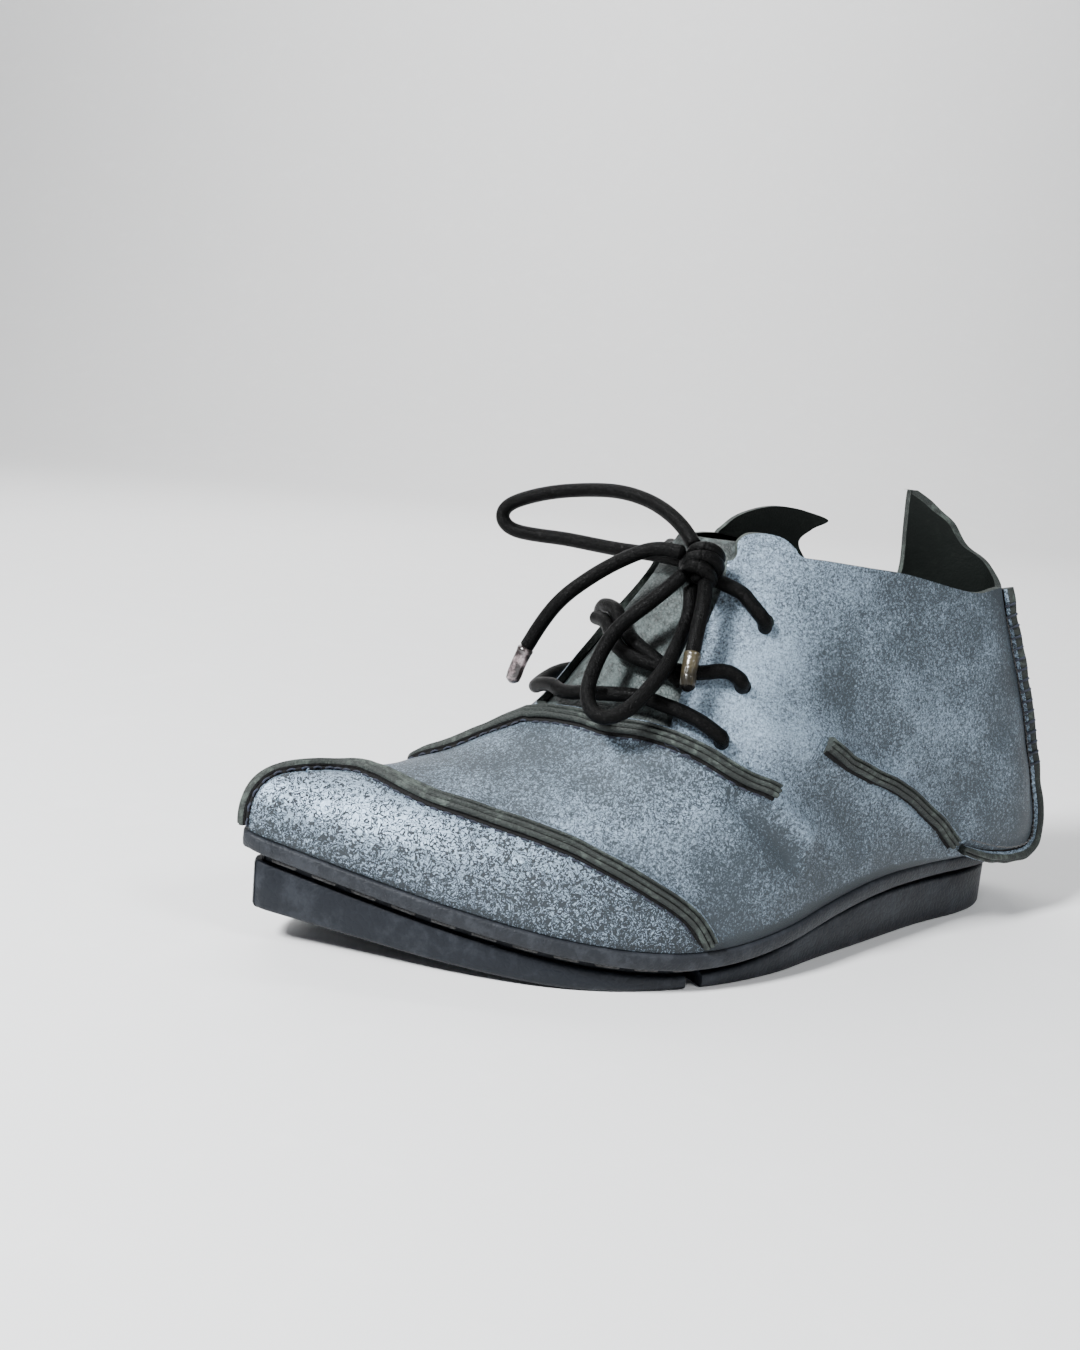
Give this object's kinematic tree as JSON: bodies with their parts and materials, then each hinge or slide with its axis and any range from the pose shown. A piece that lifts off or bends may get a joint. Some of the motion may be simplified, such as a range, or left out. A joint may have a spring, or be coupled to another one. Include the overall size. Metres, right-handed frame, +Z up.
{
  "type": "leather lace-up shoe",
  "caption": "Ankle-high leather lace-up shoe for the left foot, with outward-turned raised seams, a pointed toe, a round lace in a bow and a low two-part rubber sole.",
  "frame": {"origin": "on the floor under the middle of the shoe's own box, the free lace left out", "axes": "+X from heel to toe, +Y to the outer side of the left foot, +Z up"},
  "size_m": [0.2692, 0.1018, 0.1347],
  "materials": {
    "upper_leather": "silver foil, finely crackled over dark leather",
    "tongue_leather": "matte greenish grey leather",
    "insole_leather": "smooth black lining leather",
    "seam_leather": "raw cut edges, greenish grey",
    "midsole_rubber": "matte grey rubber",
    "outsole_rubber": "near-black matte rubber",
    "lace_cord": "round waxed black cord",
    "lace_tip": "dark translucent plastic tip"
  },
  "bodies": {
    "root": {"upper": "upper_leather", "tongue": "tongue_leather", "insole": "insole_leather", "toe_seam": "seam_leather", "vamp_seam": "seam_leather", "waist_seam": "seam_leather", "heel_seam": "seam_leather", "midsole": "midsole_rubber", "outsole_forefoot": "outsole_rubber", "outsole_heel": "outsole_rubber", "lace_bar": "lace_cord", "lace_cross": "lace_cord", "lace_top": "lace_cord", "lace_knot": "lace_cord", "lace_loop_front": "lace_cord", "lace_loop_side": "lace_cord", "lace_end_long": "lace_cord", "lace_end_short": "lace_cord", "aglet_long": "lace_tip", "aglet_short": "lace_tip"}
  },
  "joints": []
}
